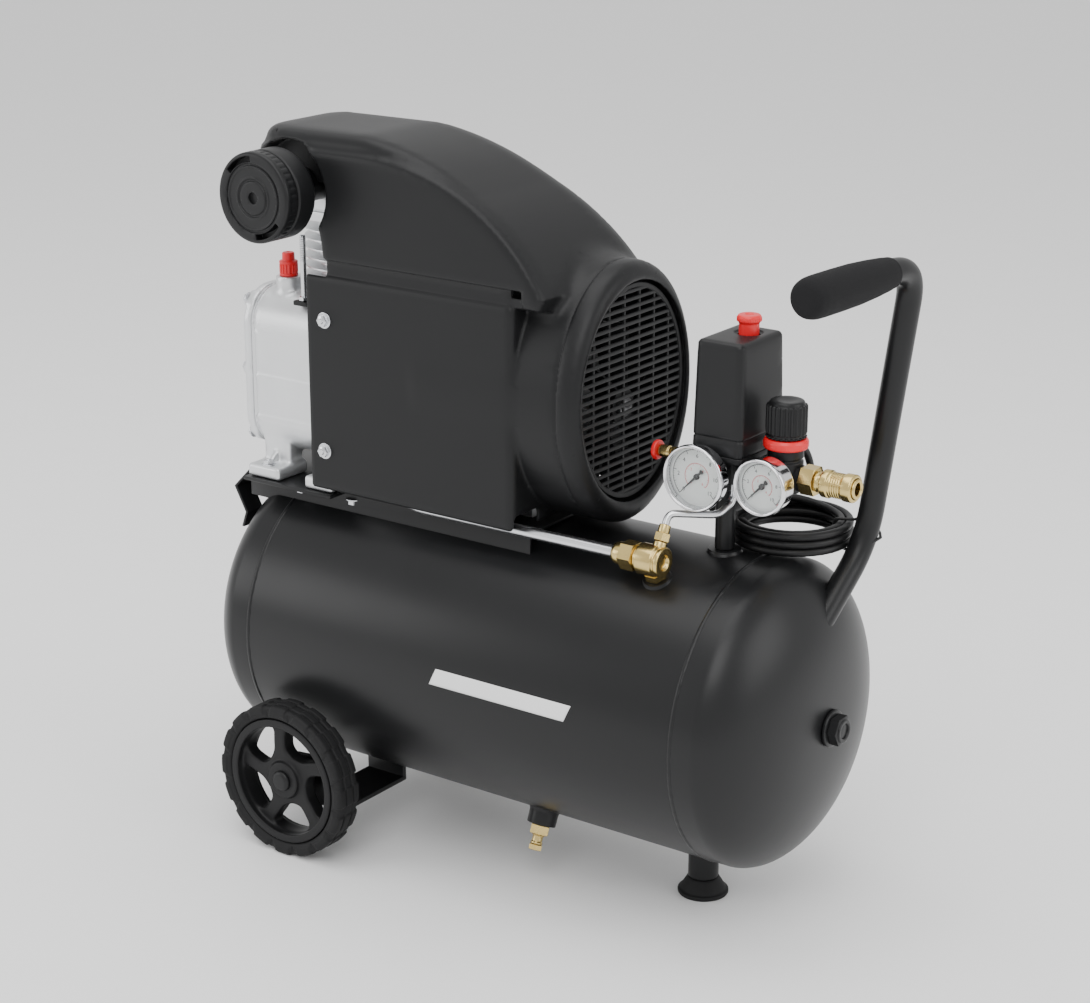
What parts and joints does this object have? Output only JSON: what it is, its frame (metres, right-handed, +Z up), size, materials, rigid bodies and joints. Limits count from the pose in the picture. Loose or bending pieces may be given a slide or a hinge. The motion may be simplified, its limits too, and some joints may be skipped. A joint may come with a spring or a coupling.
{
  "type": "air compressor",
  "caption": "Portable direct-drive piston air compressor on a horizontal tank with wheels, foot, push handle, gauges and regulator.",
  "frame": {"origin": "on the floor under the middle of the object's box, the power cord, its coil and its plug left out", "axes": "+X along the tank towards the handle, +Y towards the rear, +Z up"},
  "size_m": [0.59, 0.305, 0.6048],
  "materials": {
    "tank_paint": "satin black powder coat",
    "zinc_steel": "zinc plated",
    "machined_steel": "machined",
    "wheel_plastic": "moulded",
    "tyre_rubber": "matte",
    "foam": "fine foam",
    "cast_aluminium": "as cast, blasted",
    "pipe_aluminium": "drawn, satin",
    "sight_glass": "clear",
    "red_plastic": "moulded",
    "black_plastic": "fine grained",
    "brass": "machined, lightly tarnished",
    "chrome": "polished",
    "cord_pvc": "smooth"
  },
  "bodies": {
    "frame": {"tank_wrapper": "tank_paint", "tank_head_left": "tank_paint", "tank_head_right": "tank_paint", "end_plug": "tank_paint", "pump_platform": "tank_paint", "platform_hook": "tank_paint", "wheel_bracket": "tank_paint", "axle_bolt_front": "zinc_steel", "axle_bolt_rear": "zinc_steel", "rubber_foot": "tyre_rubber", "drain_valve_body": "brass", "handle_tube": "tank_paint", "handle_grip": "foam", "crankcase": "cast_aluminium", "crankcase_cover": "cast_aluminium", "oil_sight_glass": "sight_glass", "cylinder": "cast_aluminium", "cylinder_head": "cast_aluminium", "air_filter_body": "black_plastic", "stator": "machined_steel", "motor_end_bell": "cast_aluminium", "shroud": "black_plastic", "fan_grille": "black_plastic", "delivery_pipe": "pipe_aluminium", "delivery_pipe_nut": "brass", "check_valve": "brass", "unloader_pipe": "zinc_steel", "switch_riser": "tank_paint", "pressure_switch_base": "black_plastic", "pressure_switch_cover": "black_plastic", "tank_gauge": "chrome", "outlet_gauge": "chrome", "regulator_body": "black_plastic", "regulator_lock_ring": "red_plastic", "coupler_body": "brass", "safety_valve": "brass", "strain_relief": "cord_pvc", "cord_coil": "cord_pvc", "power_cord": "cord_pvc", "cord_tail": "cord_pvc", "power_plug": "cord_pvc"},
    "front_wheel": {"wheel_rim_front": "wheel_plastic", "wheel_tyre_front": "tyre_rubber"},
    "rear_wheel": {"wheel_rim_rear": "wheel_plastic", "wheel_tyre_rear": "tyre_rubber"},
    "drain_screw": {"drain_screw": "brass"},
    "oil_filler_plug": {"oil_filler_plug": "red_plastic"},
    "air_filter_cap": {"air_filter_cap": "black_plastic"},
    "piston": {"piston": "cast_aluminium"},
    "connecting_rod": {"connecting_rod": "cast_aluminium"},
    "crank_train": {"crankshaft": "machined_steel", "rotor_core": "machined_steel", "cooling_fan": "black_plastic"},
    "switch_knob": {"switch_knob": "red_plastic"},
    "tank_gauge_needle": {"tank_gauge_needle": "black_plastic"},
    "outlet_gauge_needle": {"outlet_gauge_needle": "black_plastic"},
    "regulator_spindle": {"regulator_spindle": "zinc_steel"},
    "regulator_knob": {"regulator_knob": "black_plastic"},
    "coupler_sleeve": {"coupler_sleeve": "brass"},
    "safety_valve_cap": {"safety_valve_cap": "red_plastic"}
  },
  "joints": [
    {"name": "front_wheel_spin", "type": "hinge", "parent": "frame", "child": "front_wheel", "pos_m": [-0.17074, -0.139, 0.067], "axis": [0, 1, 0], "continuous": true},
    {"name": "rear_wheel_spin", "type": "hinge", "parent": "frame", "child": "rear_wheel", "pos_m": [-0.17074, 0.139, 0.067], "axis": [0, 1, 0], "continuous": true},
    {"name": "crank_turn", "type": "hinge", "parent": "frame", "child": "crank_train", "pos_m": [-0.20124, 0, 0.3998], "axis": [1, 0, 0], "continuous": true},
    {"name": "piston_stroke", "type": "slide", "parent": "frame", "child": "piston", "axis": [0, 0, 1], "range_m": [-0.038, 0]},
    {"name": "rod_swing", "type": "hinge", "parent": "piston", "child": "connecting_rod", "pos_m": [-0.20124, 0, 0.5038], "axis": [1, 0, 0], "range_deg": [-12.9, 12.9]},
    {"name": "switch_knob_travel", "type": "slide", "parent": "frame", "child": "switch_knob", "axis": [0, 0, 1], "range_m": [-0.006, 0]},
    {"name": "tank_needle_turn", "type": "hinge", "parent": "frame", "child": "tank_gauge_needle", "pos_m": [0.16776, -0.044, 0.37], "axis": [0, 1, 0], "range_deg": [0, 270]},
    {"name": "outlet_needle_turn", "type": "hinge", "parent": "frame", "child": "outlet_gauge_needle", "pos_m": [0.22076, -0.036, 0.37], "axis": [0, 1, 0], "range_deg": [0, 270]},
    {"name": "regulator_turn", "type": "hinge", "parent": "frame", "child": "regulator_spindle", "pos_m": [0.21976, 0, 0.4], "axis": [0, 0, 1], "range_deg": [-1080, 0]},
    {"name": "regulator_knob_lift", "type": "slide", "parent": "regulator_spindle", "child": "regulator_knob", "axis": [0, 0, 1], "range_m": [0, 0.003]},
    {"name": "coupler_release", "type": "slide", "parent": "frame", "child": "coupler_sleeve", "axis": [-1, 0, 0], "range_m": [0, 0.004], "stiffness_N_per_m": 2500, "springref_m": -0.001},
    {"name": "safety_valve_pull", "type": "slide", "parent": "frame", "child": "safety_valve_cap", "axis": [-1, 0, 0], "range_m": [0, 0.003], "stiffness_N_per_m": 2000, "springref_m": -0.001},
    {"name": "drain_screw_turn", "type": "hinge", "parent": "frame", "child": "drain_screw", "pos_m": [0.03276, -0.06128, 0.04209], "axis": [0, -0.4226, -0.9063], "range_deg": [-540, 0]},
    {"name": "oil_plug_pull", "type": "slide", "parent": "frame", "child": "oil_filler_plug", "axis": [0, 0, 1], "range_m": [0, 0.03]},
    {"name": "filter_cap_pull", "type": "slide", "parent": "frame", "child": "air_filter_cap", "axis": [0, -1, 0], "range_m": [0, 0.03]}
  ]
}
